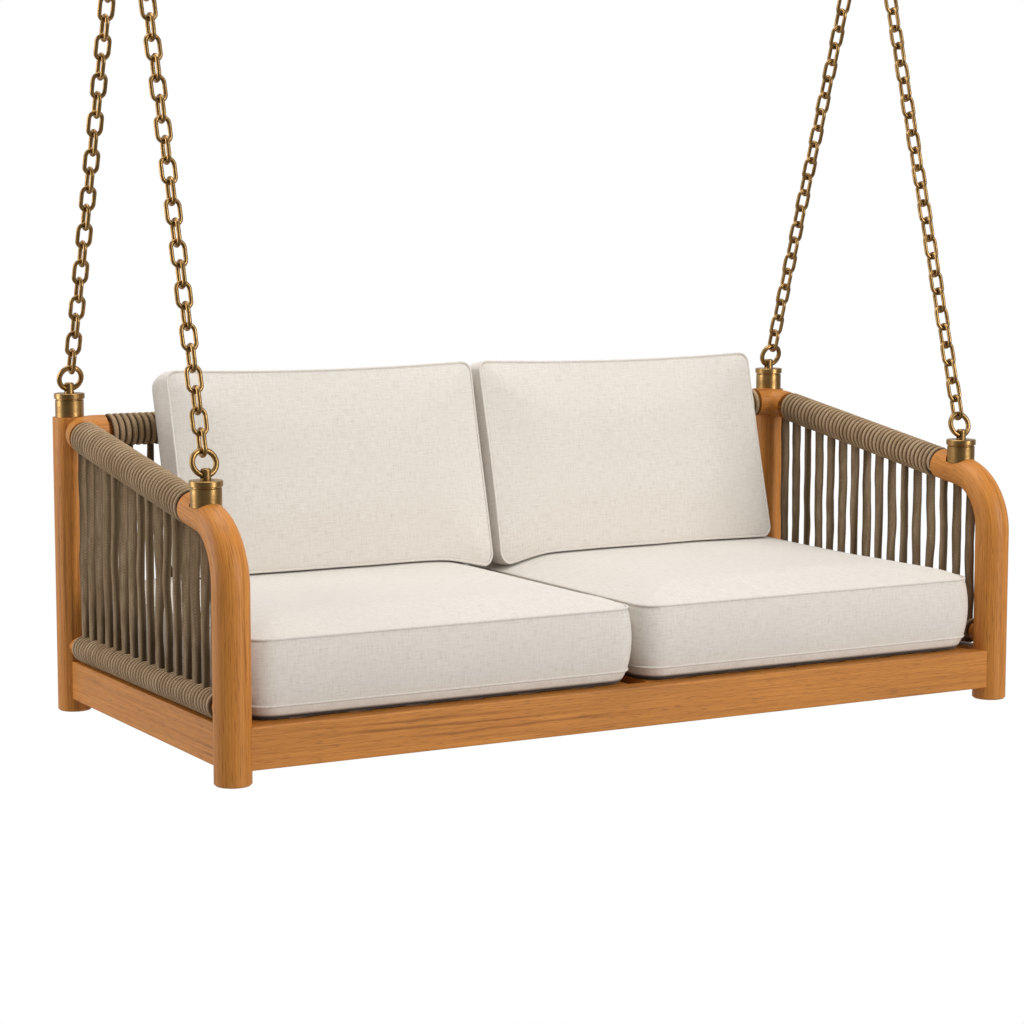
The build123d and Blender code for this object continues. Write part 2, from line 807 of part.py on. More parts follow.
def pivot_pin():
    # Head outside, threaded end towards the middle of the bench
    x = -side_x
    head = rod((x - ear_outer - pin_head_height, hang_y, pivot_z), (x - ear_outer, hang_y, pivot_z), pin_head_dia)
    head = chamfer(head.edges(), cap_edge)
    end = x + ear_outer + nut_height + pin_running_gap
    return head + rod((x - ear_outer, hang_y, pivot_z), (end, hang_y, pivot_z), pin_dia)


def pin_nut():
    place = Plane(origin=(-side_x + ear_outer, hang_y, pivot_z), x_dir=(0, 1, 0), z_dir=(1, 0, 0))
    blank = RegularPolygon(nut_flats / 2, 6, major_radius=False) - Circle(pin_dia / 2 + pin_running_gap)
    return extrude(place * blank, amount=nut_height)


# Assembly

nodes = {}


def both_sides(name, shape):
    # A piece drawn on the left, and its mirror image on the right
    shapes = shape if isinstance(shape, list) else [shape]
    nodes["left_" + name] = shapes
    nodes["right_" + name] = [other_side(piece) for piece in shapes]


both_sides("arm_bow", left_arm_bow())
both_sides("rear_post", left_rear_post())
both_sides("side_rail", left_side_rail())
nodes["rear_top_rail"] = [rear_top_rail()]
nodes["centre_bearer"] = [bearer_blank(0)]
screw_cuts = [screw_hole(*place) for place in cleat_screw_places()]
for rail_name, middle_y in (("front_rail", front_rail_middle), ("rear_rail", rear_rail_middle)):
    rail = cross_rail(middle_y) - bearer_blank(joint_gap)
    for cut in screw_cuts:
        rail = rail - cut
    nodes[rail_name] = [rail]

both_sides("lower_bar", lower_bar(*side_bar_ends, bar_margin))
nodes["rear_lower_bar"] = [lower_bar(*rear_bar_ends, bar_margin)]
dowel = rod(arm_end - arm_up * (dowel_length / 2), arm_end + arm_up * (dowel_length / 2), dowel_dia)
nodes["arm_dowels"] = [dowel, other_side(dowel)]

nodes["seat_slats"] = slats()
nodes["front_cleats"] = cleats(bearer_ends[0], bearer_ends[0] + cleat_thick)
nodes["rear_cleats"] = cleats(bearer_ends[1], bearer_ends[1] - cleat_thick)
nodes["slat_screws"] = [deck_screw(*place) for place in slat_screw_places()]
nodes["cleat_screws"] = [deck_screw(*place) for place in cleat_screw_places()]

side_bar_wrap = [end + (other - end).normalized() * bar_margin for end, other in (side_bar_ends, side_bar_ends[::-1])]
rear_bar_wrap = [end + (other - end).normalized() * bar_margin for end, other in (rear_bar_ends, rear_bar_ends[::-1])]
rear_wrap_end = elbow()[1]
rear_rail_wrap = [rear_wrap_end, Vector(-rear_wrap_end.X, rear_wrap_end.Y, rear_wrap_end.Z)]
inwards = (1, 0, 0)
forwards = (0, -1, 0)
backwards = (0, 1, 0)
both_sides("arm_winding", winding("arm winding", wrap_front, wrap_rear, arm_core_dia, inwards))
both_sides("lower_winding", winding("lower winding", *side_bar_wrap, bar_core_dia, inwards))
nodes["rear_rail_winding"] = winding("rear rail winding", *rear_rail_wrap, arm_core_dia, backwards)
nodes["rear_lower_winding"] = winding("rear lower winding", *rear_bar_wrap, bar_core_dia, forwards)
both_sides("strands", strands(side_strands()))
nodes["rear_strands"] = strands(rear_strands())

nodes["right_seat_cushion"] = [right_seat_cushion()]
nodes["left_seat_cushion"] = [other_side(nodes["right_seat_cushion"][0])]
nodes["right_back_cushion"] = [right_back_cushion()]
nodes["left_back_cushion"] = [other_side(nodes["right_back_cushion"][0])]

studs = []
for place_name, cap_y, cap_z in cap_places:
    both_sides(place_name + "_cap", cap(-side_x, cap_y, cap_z))
    both_sides(place_name + "_drop_ring", drop_ring(cap_y, cap_z))
    both_sides(place_name + "_chain", chain(cap_y, cap_z))
    stud = eye_stud(-side_x, cap_y, cap_z)
    studs = studs + [stud, other_side(stud)]
nodes["eye_studs"] = studs

top_ring = ring_in((-side_x, *apex), (1, 0, 0), top_ring_r, top_ring_wire)
both_sides("top_ring", top_ring)
both_sides("hanger_eye", hanger_eye())
both_sides("ceiling_plate", ceiling_plate())
both_sides("pivot_pin", pivot_pin())
nodes["pin_nuts"] = [pin_nut(), other_side(pin_nut())]

os.makedirs("parts", exist_ok=True)
to_ceiling = Pos(0, -hang_y, -ceiling_z)
for node_name, pieces in nodes.items():
    solids = [solid for piece in pieces for solid in (to_ceiling * piece).solids()]
    export_step(Compound(solids), f"parts/{node_name}.step")
print(f"pivot {pivot_z - ceiling_z:.2f} mm below the ceiling, ceiling {ceiling_z:.1f} mm above the feet")
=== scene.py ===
import math
import random

import bmesh
import bpy
from mathutils import Matrix, Vector, noise


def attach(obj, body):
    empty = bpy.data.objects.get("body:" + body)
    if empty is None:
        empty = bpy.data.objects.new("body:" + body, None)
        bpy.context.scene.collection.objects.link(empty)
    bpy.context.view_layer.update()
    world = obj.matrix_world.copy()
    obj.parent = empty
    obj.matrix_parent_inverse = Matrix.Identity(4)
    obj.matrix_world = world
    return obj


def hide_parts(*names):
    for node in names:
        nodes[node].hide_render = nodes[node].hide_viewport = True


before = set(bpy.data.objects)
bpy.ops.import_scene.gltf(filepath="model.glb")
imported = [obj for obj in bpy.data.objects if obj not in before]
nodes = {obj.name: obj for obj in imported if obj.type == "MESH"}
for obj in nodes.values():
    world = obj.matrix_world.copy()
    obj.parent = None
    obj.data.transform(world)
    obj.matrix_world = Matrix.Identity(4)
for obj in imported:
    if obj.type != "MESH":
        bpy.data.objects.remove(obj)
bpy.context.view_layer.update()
scene = bpy.context.scene
scene.view_settings.view_transform = "Standard"
print("frame loaded,", len(nodes), "nodes")

# the bench in millimetres from its feet; the frame's origin is up at the ceiling
frameOrigin = Vector((0, 42, 1771.746))
bench = {
    "sideX": 820,
    "armFront": (-228, 458),
    "armRear": (310.6, 540.4),
    "rail": (360, 548),
    "railEndX": 762,
    "barZ": 128,
    "sideBarEndY": 346,
    "rearBarY": 378,
    "rearBarEndX": 776,
    "seatFrontY": -390,
    "seatSeamZ": 242.3,
    "backFoot": (161.0, 273.7),
    "padGap": 8,
}
backLean = math.radians(14.5)
fullTurn = 2 * math.pi


def spot(x, y, z):
    return (Vector((x, y, z)) - frameOrigin) / 1000


def dropSelection():
    if bpy.context.mode != "OBJECT":
        bpy.ops.object.mode_set(mode="OBJECT")
    bpy.ops.object.select_all(action="DESELECT")


def pickUp(piece):
    dropSelection()
    piece.select_set(True)
    bpy.context.view_layer.objects.active = piece


def applyAll(piece):
    pickUp(piece)
    for modifier in list(piece.modifiers):
        bpy.ops.object.modifier_apply(modifier=modifier.name)


def ownCopy(model):
    piece = model.copy()
    piece.data = model.data.copy()
    scene.collection.objects.link(piece)
    return piece


def joinUp(parts, name):
    dropSelection()
    for part in parts:
        part.select_set(True)
    bpy.context.view_layer.objects.active = parts[0]
    bpy.ops.object.join()
    parts[0].name = name
    parts[0].data.name = name
    return parts[0]


def roundedPlate(wide, high, corner, steps):
    # stays in edit mode
    dropSelection()
    bpy.ops.mesh.primitive_plane_add(size=1)
    piece = bpy.context.object
    bpy.ops.object.mode_set(mode="EDIT")
    bpy.ops.mesh.select_all(action="SELECT")
    bpy.ops.transform.resize(value=(wide, high, 1))
    bpy.ops.mesh.bevel(offset=corner, segments=steps, affect="VERTICES")
    return piece


def screwUp(piece, angle, rise, loops, steps):
    screw = piece.modifiers.new("screw", "SCREW")
    screw.axis = "Z"
    screw.angle = angle
    screw.screw_offset = rise
    screw.iterations = loops
    screw.steps = steps
    screw.render_steps = steps
    return screw


def closeEnds():
    bpy.ops.object.mode_set(mode="EDIT")
    bpy.ops.mesh.select_all(action="SELECT")
    bpy.ops.mesh.fill_holes(sides=0)
    bpy.ops.mesh.normals_make_consistent(inside=False)
    bpy.ops.object.mode_set(mode="OBJECT")


def standAlong(piece, start, run, side):
    # the piece's z goes along the run and its x towards the side
    along = run.normalized()
    across = (side - along * along.dot(side)).normalized()
    place = Matrix((across, along.cross(across), along)).transposed().to_4x4()
    place.translation = start
    piece.data.transform(place)


# camera, fitted to the feet, posts and caps
cameraSettings = {
    "place": spot(-2529.2, -4404.3, 969.0),
    "pitch": 83.4,
    "yaw": -29.3,
    "lens": 91.4,
    "sensor": 36,
    "farthest": 100,
}
dropSelection()
cameraTurn = (math.radians(cameraSettings["pitch"]), 0, math.radians(cameraSettings["yaw"]))
bpy.ops.object.camera_add(location=cameraSettings["place"], rotation=cameraTurn)
camera = bpy.context.object
camera.data.lens = cameraSettings["lens"]
camera.data.sensor_width = cameraSettings["sensor"]
camera.data.clip_end = cameraSettings["farthest"]
scene.camera = camera
print("camera set")


# small helpers for building finishes
def newFinish(name):
    finish = bpy.data.materials.new(name)
    finish.use_nodes = True
    tree = finish.node_tree
    return finish, tree, tree.nodes["Principled BSDF"]


def add(tree, kind, **settings):
    node = tree.nodes.new(kind)
    for key, value in settings.items():
        setattr(node, key, value)
    return node


def setInputs(node, values):
    for socket, value in values.items():
        node.inputs[socket].default_value = value


def feed(tree, source, target):
    if isinstance(source, (int, float, tuple, Vector)):
        target.default_value = source
    else:
        tree.links.new(source, target)


def sum2(tree, work, a, b=0.0, c=None):
    node = add(tree, "ShaderNodeMath", operation=work)
    feed(tree, a, node.inputs[0])
    feed(tree, b, node.inputs[1])
    if c is not None:
        feed(tree, c, node.inputs[2])
    return node.outputs[0]


def axesOf(tree, vector):
    node = add(tree, "ShaderNodeSeparateXYZ")
    tree.links.new(vector, node.inputs[0])
    return node.outputs


def stretched(tree, vector, scale, shift=(0, 0, 0), turned=(0, 0, 0)):
    node = add(tree, "ShaderNodeMapping")
    feed(tree, vector, node.inputs["Vector"])
    setInputs(node, {"Location": shift, "Rotation": turned, "Scale": scale})
    return node.outputs[0]


def cloudy(tree, vector, scale, detail, rough):
    node = add(tree, "ShaderNodeTexNoise")
    feed(tree, vector, node.inputs["Vector"])
    setInputs(node, {"Scale": scale, "Detail": detail, "Roughness": rough})
    return node.outputs["Fac"]


def streaky(tree, vector, scale, detail, rough, shift=(0, 0, 0)):
    return cloudy(tree, stretched(tree, vector, scale, shift), 1.0, detail, rough)


def between(tree, value, low, high, toLow=0.0, toHigh=1.0):
    node = add(tree, "ShaderNodeMapRange")
    feed(tree, value, node.inputs["Value"])
    setInputs(node, {"From Min": low, "From Max": high, "To Min": toLow, "To Max": toHigh})
    return node.outputs["Result"]


def blendColour(tree, share, a, b):
    node = add(tree, "ShaderNodeMix", data_type="RGBA", blend_type="MIX")
    feed(tree, share, node.inputs["Factor"])
    for letter, colour in (("A", a), ("B", b)):
        socket = [s for s in node.inputs if s.name == letter and s.type == "RGBA"][0]
        feed(tree, (*colour, 1) if isinstance(colour, tuple) else colour, socket)
    return [s for s in node.outputs if s.type == "RGBA"][0]


def raised(tree, shader, height, strength, distance):
    node = add(tree, "ShaderNodeBump")
    setInputs(node, {"Strength": strength, "Distance": distance})
    feed(tree, height, node.inputs["Height"])
    tree.links.new(node.outputs["Normal"], shader.inputs["Normal"])


def ownPlace(tree):
    return add(tree, "ShaderNodeTexCoord").outputs["Object"]


# oiled teak: growth rings round a far pith, fine fibre and short dark pores along the grain
# a pattern is its stretch, detail and roughness; a range goes from two levels to two others
teakLook = {
    "honey": (0.625, 0.246, 0.042),
    "amber": (0.400, 0.140, 0.020),
    "line": (0.150, 0.047, 0.008),
    "pithStretch": (0.10, 1, 1),
    "ringsPerMetre": 66,
    "ringsAtScaleOne": 3.2,
    "ringWarp": {"Distortion": 8.0, "Detail": 3, "Detail Scale": 0.9, "Detail Roughness": 0.62},
    "fibre": ((5, 430, 430), 4, 0.65),
    "pore": ((34, 560, 560), 1, 0.5),
    "patch": ((1.6, 9, 9), 2, 0.5),
    "ringPatch": ((2.4, 26, 26), 2, 0.5),
    "ringRange": (0.15, 0.95),
    "ringPatchRange": (0.36, 0.66),
    "fibreRange": (0.3, 0.7),
    "poreRange": (0.56, 0.70),
    "lightRange": (0.3, 0.7, 0.86, 1.14),
    "roughRange": (0.3, 0.75, 0.40, 0.56),
    "fibreShare": 0.88,
    "ringShare": 0.62,
    "lineSharpness": 6.0,
    "lineShare": 0.42,
    "poreShare": 0.40,
    "fibreRise": 0.5,
    "relief": (0.16, 0.0006),
    "shader": {"Specular IOR Level": 0.32},
}


def teakOn(tree, shader, grain, shift):
    # grain runs along the vector's x
    look = teakLook
    far = stretched(tree, grain, look["pithStretch"], shift)
    rings = add(tree, "ShaderNodeTexWave", wave_type="RINGS", rings_direction="X")
    feed(tree, far, rings.inputs["Vector"])
    setInputs(rings, {"Scale": look["ringsPerMetre"] / look["ringsAtScaleOne"], **look["ringWarp"]})
    fibre = streaky(tree, grain, *look["fibre"], shift)
    pore = streaky(tree, grain, *look["pore"], shift)
    patch = streaky(tree, grain, *look["patch"], shift)
    # the rings come and go along the board
    come = streaky(tree, grain, *look["ringPatch"], shift)
    ringShade = between(tree, rings.outputs["Fac"], *look["ringRange"])
    ringShade = sum2(tree, "MULTIPLY", ringShade, between(tree, come, *look["ringPatchRange"]))
    fibreShade = between(tree, fibre, *look["fibreRange"])
    fibreShare = sum2(tree, "MULTIPLY", fibreShade, look["fibreShare"])
    body = blendColour(tree, fibreShare, look["honey"], look["amber"])
    ringShare = sum2(tree, "MULTIPLY", ringShade, look["ringShare"])
    ringed = blendColour(tree, ringShare, body, look["amber"])
    lines = sum2(tree, "POWER", ringShade, look["lineSharpness"])
    lined = blendColour(tree, sum2(tree, "MULTIPLY", lines, look["lineShare"]), ringed, look["line"])
    poreMark = between(tree, pore, *look["poreRange"])
    poreShare = sum2(tree, "MULTIPLY", poreMark, look["poreShare"])
    pored = blendColour(tree, poreShare, lined, look["line"])
    light = between(tree, patch, *look["lightRange"])
    tint = add(tree, "ShaderNodeHueSaturation")
    feed(tree, pored, tint.inputs["Color"])
    feed(tree, light, tint.inputs["Value"])
    feed(tree, tint.outputs["Color"], shader.inputs["Base Color"])
    feed(tree, between(tree, fibre, *look["roughRange"]), shader.inputs["Roughness"])
    setInputs(shader, look["shader"])
    height = sum2(tree, "SUBTRACT", sum2(tree, "MULTIPLY", fibre, look["fibreRise"]), poreMark)
    raised(tree, shader, height, *look["relief"])


def straightTeak(name, along, shift):
    finish, tree, shader = newFinish(name)
    turned = {"x": (0, 0, 0), "y": (0, 0, -math.pi / 2), "z": (0, math.pi / 2, 0)}[along]
    grain = stretched(tree, ownPlace(tree), (1, 1, 1), (0, 0, 0), turned)
    teakOn(tree, shader, grain, shift)
    return finish


# the grain of the bent arms follows the post, the bend and the slope
bowLine = {"middle": spot(0, -278, 337.05), "radius": 0.112, "turn": math.radians(81.3)}


def bentTeak(name, shift):
    finish, tree, shader = newFinish(name)
    place = axesOf(tree, ownPlace(tree))
    ahead = sum2(tree, "SUBTRACT", bowLine["middle"].y, place["Y"])
    up = sum2(tree, "SUBTRACT", place["Z"], bowLine["middle"].z)
    angle = sum2(tree, "ARCTAN2", up, ahead)
    angle = sum2(tree, "MINIMUM", sum2(tree, "MAXIMUM", angle, 0.0), bowLine["turn"])
    sine = sum2(tree, "SINE", angle)
    cosine = sum2(tree, "COSINE", angle)
    out = sum2(tree, "ADD", sum2(tree, "MULTIPLY", ahead, cosine), sum2(tree, "MULTIPLY", up, sine))
    past = sum2(tree, "SUBTRACT", sum2(tree, "MULTIPLY", up, cosine), sum2(tree, "MULTIPLY", ahead, sine))
    run = sum2(tree, "MULTIPLY_ADD", angle, bowLine["radius"], past)
    grain = add(tree, "ShaderNodeCombineXYZ")
    tree.links.new(run, grain.inputs["X"])
    tree.links.new(out, grain.inputs["Y"])
    tree.links.new(place["X"], grain.inputs["Z"])
    teakOn(tree, shader, grain.outputs[0], shift)
    return finish


# aged brass, darker where the brushing missed it
brassLook = {
    "bright": (0.47, 0.285, 0.108),
    "dull": (0.21, 0.118, 0.038),
    "stain": (34, 3, 0.6),
    "brushDetail": (2, 0.6),
    "stainRange": (0.36, 0.66, 0, 0.6),
    "brushRange": (0.3, 0.7, 0, 0.4),
    "roughRange": (0, 1, 0.27, 0.46),
    "relief": (0.10, 0.0003),
    "shader": {"Metallic": 1.0},
}


def agedBrass(name, brush):
    finish, tree, shader = newFinish(name)
    look = brassLook
    place = ownPlace(tree)
    stain = cloudy(tree, place, *look["stain"])
    lines = streaky(tree, place, brush, *look["brushDetail"])
    stainMark = between(tree, stain, *look["stainRange"])
    worn = sum2(tree, "ADD", stainMark, between(tree, lines, *look["brushRange"]))
    feed(tree, blendColour(tree, worn, look["bright"], look["dull"]), shader.inputs["Base Color"])
    setInputs(shader, look["shader"])
    feed(tree, between(tree, worn, *look["roughRange"]), shader.inputs["Roughness"])
    raised(tree, shader, lines, *look["relief"])
    return finish


steelLook = {
    "light": (0.52, 0.52, 0.50),
    "dark": (0.36, 0.36, 0.35),
    "stain": (160, 2, 0.5),
    "roughRange": (0.3, 0.7, 0.3, 0.45),
    "shader": {"Metallic": 1.0},
}


def zincSteel(name):
    finish, tree, shader = newFinish(name)
    look = steelLook
    stain = cloudy(tree, ownPlace(tree), *look["stain"])
    feed(tree, blendColour(tree, stain, look["light"], look["dark"]), shader.inputs["Base Color"])
    setInputs(shader, look["shader"])
    feed(tree, between(tree, stain, *look["roughRange"]), shader.inputs["Roughness"])
    return finish


# soft cord: solid braid of taupe yarn, read from the cord's own run and turn
cordLook = {
    "yarn": (0.205, 0.134, 0.073),
    "pale": (0.385, 0.278, 0.175),
    # deep is the colour of the painted shade in the braid's valleys, down flanks and along rims
    "deep": (0.060, 0.036, 0.016),
    "stitch": 0.0058,
    "stitchesRound": 5,
    "fleck": (420, 2, 0.7),
    "streak": ((26, 7, 1), 3, 0.6),
    "fade": (9, 2, 0.5),
    "streakRange": (0.32, 0.68),
    "fadeRange": (0.35, 0.7, 0, 0.45),
    "fleckRange": (0.56, 0.72, 0, 0.55),
    "braidShadeRange": (-0.2, 0.45),
    "paintedShadeRange": (0.1, 0.85),
    "braidRise": 0.5,
    "relief": (0.45, 0.0008),
    "shader": {"Roughness": 0.88, "Specular IOR Level": 0.12},
}


def taupeCord(name, tone, braidShade, shade):
    finish, tree, shader = newFinish(name)
    look = cordLook
    yarn, pale, deep = [tuple(tone * c for c in look[key]) for key in ("yarn", "pale", "deep")]
    way = add(tree, "ShaderNodeAttribute", attribute_name="cordWay").outputs["Vector"]
    wayAxes = axesOf(tree, way)
    run = sum2(tree, "MULTIPLY", wayAxes["X"], fullTurn / look["stitch"])
    around = sum2(tree, "MULTIPLY", wayAxes["Y"], fullTurn * look["stitchesRound"])
    left = sum2(tree, "SINE", sum2(tree, "ADD", run, around))
    right = sum2(tree, "SINE", sum2(tree, "SUBTRACT", run, around))
    braid = sum2(tree, "MAXIMUM", left, right)
    place = ownPlace(tree)
    fleck = cloudy(tree, place, *look["fleck"])
    streak = streaky(tree, way, *look["streak"])
    fade = cloudy(tree, place, *look["fade"])
    body = blendColour(tree, between(tree, streak, *look["streakRange"]), yarn, pale)
    body = blendColour(tree, between(tree, fade, *look["fadeRange"]), body, yarn)
    body = blendColour(tree, between(tree, fleck, *look["fleckRange"]), body, pale)
    # painted shade: the braid's valleys are darkened towards deep, as shade between the yarns
    body = blendColour(tree, between(tree, braid, *look["braidShadeRange"], braidShade, 0), body, deep)
    # painted shade: wound cord is darkened down its flanks, as shade between loops, and a strand along
    # its two narrow rims, as shade between strands
    body = blendColour(tree, between(tree, wayAxes["Z"], *look["paintedShadeRange"], 0, shade), body, deep)
    feed(tree, body, shader.inputs["Base Color"])
    setInputs(shader, look["shader"])
    height = sum2(tree, "ADD", sum2(tree, "MULTIPLY", braid, look["braidRise"]), fleck)
    raised(tree, shader, height, *look["relief"])
    return finish


# oatmeal linen: plain weave with slubs both ways, on the cloth's own flat lay
linenLook = {
    "flax": (0.680, 0.628, 0.560),
    "light": (0.755, 0.713, 0.655),
    "dark": (0.50, 0.44, 0.37),
    # painted shadow colour, and the heights from the feet in millimetres over which it fades out
    "base": (0.045, 0.031, 0.019),
    "baseTop": (107.0, 112.0),
    "thread": 0.0021,
    "warpSlub": ((340, 42, 1), 3, 0.6),
    "weftSlub": ((42, 340, 1), 3, 0.6, (3, 5, 0)),
    "speck": (520, 2, 0.7),
    "cloud": (7, 2, 0.5),
    "slubRange": (0.78, 1.2),
    "thickSlubRange": (1.1, 1.4, 0, 0.45),
    "speckRange": (0.52, 0.72, 0, 0.5),
    "cloudRange": (0.35, 0.7, 0, 0.35),
    "weaveRise": 0.4,
    "relief": (0.35, 0.0007),
    "shader": {
        "Roughness": 0.9,
        "Specular IOR Level": 0.18,
        "Sheen Weight": 0.2,
        "Sheen Roughness": 0.45,
    },
}


def slubLinen(name):
    finish, tree, shader = newFinish(name)
    look = linenLook
    lay = add(tree, "ShaderNodeAttribute", attribute_name="clothLay").outputs["Vector"]
    layAxes = axesOf(tree, lay)
    thread = fullTurn / look["thread"]
    warpWave = sum2(tree, "SINE", sum2(tree, "MULTIPLY", layAxes["X"], thread))
    weftWave = sum2(tree, "SINE", sum2(tree, "MULTIPLY", layAxes["Y"], thread))
    weave = sum2(tree, "MULTIPLY", warpWave, weftWave)
    warpSlub = streaky(tree, lay, *look["warpSlub"])
    weftSlub = streaky(tree, lay, *look["weftSlub"])
    slub = sum2(tree, "ADD", warpSlub, weftSlub)
    speck = cloudy(tree, lay, *look["speck"])
    cloud = cloudy(tree, lay, *look["cloud"])
    body = blendColour(tree, between(tree, slub, *look["slubRange"]), look["light"], look["flax"])
    body = blendColour(tree, between(tree, slub, *look["thickSlubRange"]), body, look["dark"])
    body = blendColour(tree, between(tree, speck, *look["speckRange"]), body, look["dark"])
    body = blendColour(tree, between(tree, cloud, *look["cloudRange"]), body, look["flax"])
    # painted shadow: the linen's lowest few millimetres, on the seat pads' rounded undersides, are
    # painted near black as the contact shadow between pad and front rail
    height = axesOf(tree, ownPlace(tree))["Z"]
    low, high = [spot(0, 0, level).z for level in look["baseTop"]]
    body = blendColour(tree, between(tree, height, low, high, 1, 0), body, look["base"])
    feed(tree, body, shader.inputs["Base Color"])
    setInputs(shader, look["shader"])
    rise = sum2(tree, "ADD", sum2(tree, "MULTIPLY", weave, look["weaveRise"]), slub)
    raised(tree, shader, rise, *look["relief"])
    return finish


teakX = straightTeak("teak_across", "x", shift=(0.3, 0.11, 0.62))
teakY = straightTeak("teak_deep", "y", shift=(0.7, 0.21, 0.41))
teakZ = straightTeak("teak_upright", "z", shift=(0.1, 0.35, 0.22))
teakBow = bentTeak("teak_bent", shift=(0.5, 0.17, 0.33))
brassTurned = agedBrass("brass_turned", brush=(30, 30, 900))
brassWire = agedBrass("brass_wire", brush=(240, 240, 240))
steel = zincSteel("zinc_steel")
# painted light and shade: one cord in two tones, the windings' copy painted lighter as lit and the
# strands' copy painted darker as shaded
cord = taupeCord("taupe_lit_cord", tone=1.42, braidShade=0.22, shade=0.85)
shadedStrandCord = taupeCord("taupe_shaded_cord", tone=1.04, braidShade=0.26, shade=0.85)
linen = slubLinen("slub_linen")
print("finishes made")


# the rigid parts keep their shapes and take the finishes
finishOf = {
    "arm_bow": teakBow,
    "rear_post": teakZ,
    "side_rail": teakY,
    "lower_bar": teakY,
    "rear_lower_bar": teakX,
    "rear_top_rail": teakX,
    "front_rail": teakX,
    "rear_rail": teakX,
    "centre_bearer": teakY,
    "seat_slats": teakY,
    "cleats": teakX,
    "arm_dowels": teakY,
    "screws": steel,
    "cap": brassTurned,
    "ring": brassWire,
    "chain": brassWire,
    "eye_studs": brassTurned,
    "hanger_eye": brassTurned,
    "ceiling_plate": brassTurned,
    "pivot_pin": steel,
    "pin_nuts": steel,
}
for name, node in nodes.items():
    match = [key for key in finishOf if name.endswith(key)]
    if match:
        chosen = finishOf[max(match, key=len)]
        node.data.materials.clear()
        node.data.materials.append(chosen)
print("rigid parts finished")


cordCrease = math.radians(60)


def markCord(piece, ways):
    # run along the cord in metres, turn round it, and how far down its side, for the cord's finish and
    # its painted shade
    layer = piece.data.attributes.new("cordWay", "FLOAT_VECTOR", "POINT")
    layer.data.foreach_set("vector", [value for way in ways for value in way])


def dressCord(piece, node, finish):
    piece.data.materials.append(finish)
    pickUp(piece)
    bpy.ops.object.shade_smooth_by_angle(angle=cordCrease)
    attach(piece, "swing")
    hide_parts(node)


# cord wound on the arms, the top rail and the lower bars
armWrap = {"outer": 0.0320, "core": 0.0203}
barWrap = {"outer": 0.0250, "core": 0.0133}
windingLook = {
    "roundness": 0.0056,
    "roundSteps": 3,
    "stepsPerLoop": 24,
    "tuckLoops": 0.18,
    "tuckDepth": 0.006,
    "gap": 0.0002,
    # crest and flank: where the crest stays light, and over how much turn the painted shade comes in down
    # the flanks
    "crest": 0.05,
    "flank": 0.14,
}


def armLine(x):
    return spot(x, *bench["armFront"]), spot(x, *bench["armRear"])


def sideBarLine(x):
    return spot(x, -bench["sideBarEndY"], bench["barZ"]), spot(x, bench["sideBarEndY"], bench["barZ"])


def acrossLine(endX, y, z):
    return spot(-endX, y, z), spot(endX, y, z)


# each winding's line, its wrap, its count of loops and the side where its ends tuck in
rightX = bench["sideX"]
railLine = acrossLine(bench["railEndX"], *bench["rail"])
rearBarLine = acrossLine(bench["rearBarEndX"], bench["rearBarY"], bench["barZ"])
windings = {
    "left_arm_winding": (armLine(-rightX), armWrap, 41, (1, 0, -1)),
    "right_arm_winding": (armLine(rightX), armWrap, 41, (-1, 0, -1)),
    "rear_rail_winding": (railLine, armWrap, 116, (0, 1, -1)),
    "left_lower_winding": (sideBarLine(-rightX), barWrap, 52, (1, 0, -1)),
    "right_lower_winding": (sideBarLine(rightX), barWrap, 52, (-1, 0, -1)),
    "rear_lower_winding": (rearBarLine, barWrap, 118, (0, -1, -1)),
}


def windCord(name, line, wrap, loops, joinSide):
    start, end = line
    run = end - start
    look = windingLook
    thick = wrap["outer"] - wrap["core"]
    pitch = run.length / (loops + 1)
    middle = (wrap["outer"] + wrap["core"]) / 2
    piece = roundedPlate(thick, pitch - look["gap"], look["roundness"], look["roundSteps"])
    bpy.ops.transform.rotate(value=math.pi / 2, orient_axis="X", center_override=(0, 0, 0))
    bpy.ops.transform.translate(value=(middle, 0, pitch / 2))
    bpy.ops.mesh.select_all(action="SELECT")
    bpy.ops.mesh.delete(type="ONLY_FACE")
    bpy.ops.object.mode_set(mode="OBJECT")
    screwUp(piece, fullTurn, pitch, loops, look["stepsPerLoop"]).use_normal_calculate = True
    applyAll(piece)
    closeEnds()
    ways = []
    for point in piece.data.vertices:
        x, y, z = point.co
        away = math.hypot(x, y)
        angle = math.atan2(y, x) % fullTurn
        loop = round((z - pitch / 2 - pitch * angle / fullTurn) / pitch)
        turns = loop + angle / fullTurn
        centre = pitch / 2 + pitch * turns
        turn = math.atan2(z - centre, away - middle) / fullTurn
        # how far down the flank, for the painted shade between loops
        flank = min(1, max(0, abs(turn) - look["crest"]) / look["flank"])
        ways.append((turns * fullTurn * middle, turn, flank))
        # the two ends dive under
        fromEnd = min(turns, loops - turns)
        dive = max(0, 1 - fromEnd / look["tuckLoops"]) ** 2 * look["tuckDepth"]
        point.co.x -= dive * x / away
        point.co.y -= dive * y / away
    markCord(piece, ways)
    standAlong(piece, start, run, Vector(joinSide))
    piece.name = "cord_" + name
    piece.data.name = piece.name
    dressCord(piece, name, cord)


for name, (line, wrap, loops, joinSide) in windings.items():
    windCord(name, line, wrap, loops, joinSide)
print("windings wound")


# strands between the lower bars and the rails above, each a soft flat cord with a slow twist
strandLook = {
    "wide": 0.0093,
    "deep": 0.0070,
    "sides": 12,
    "steps": 36,
    "twist": 1.4,
    "phase": (0, 100),
    "untwist": (-1.6, 0.2),
    "startTurn": (-0.5, 0.5),
    "swell": 0.10,
    "swellWaves": 26,
    "waver": 0.0036,
    "waverWaves": 9,
    "noiseSlices": {"swell": 3, "waverX": 0, "waverY": 7},
}
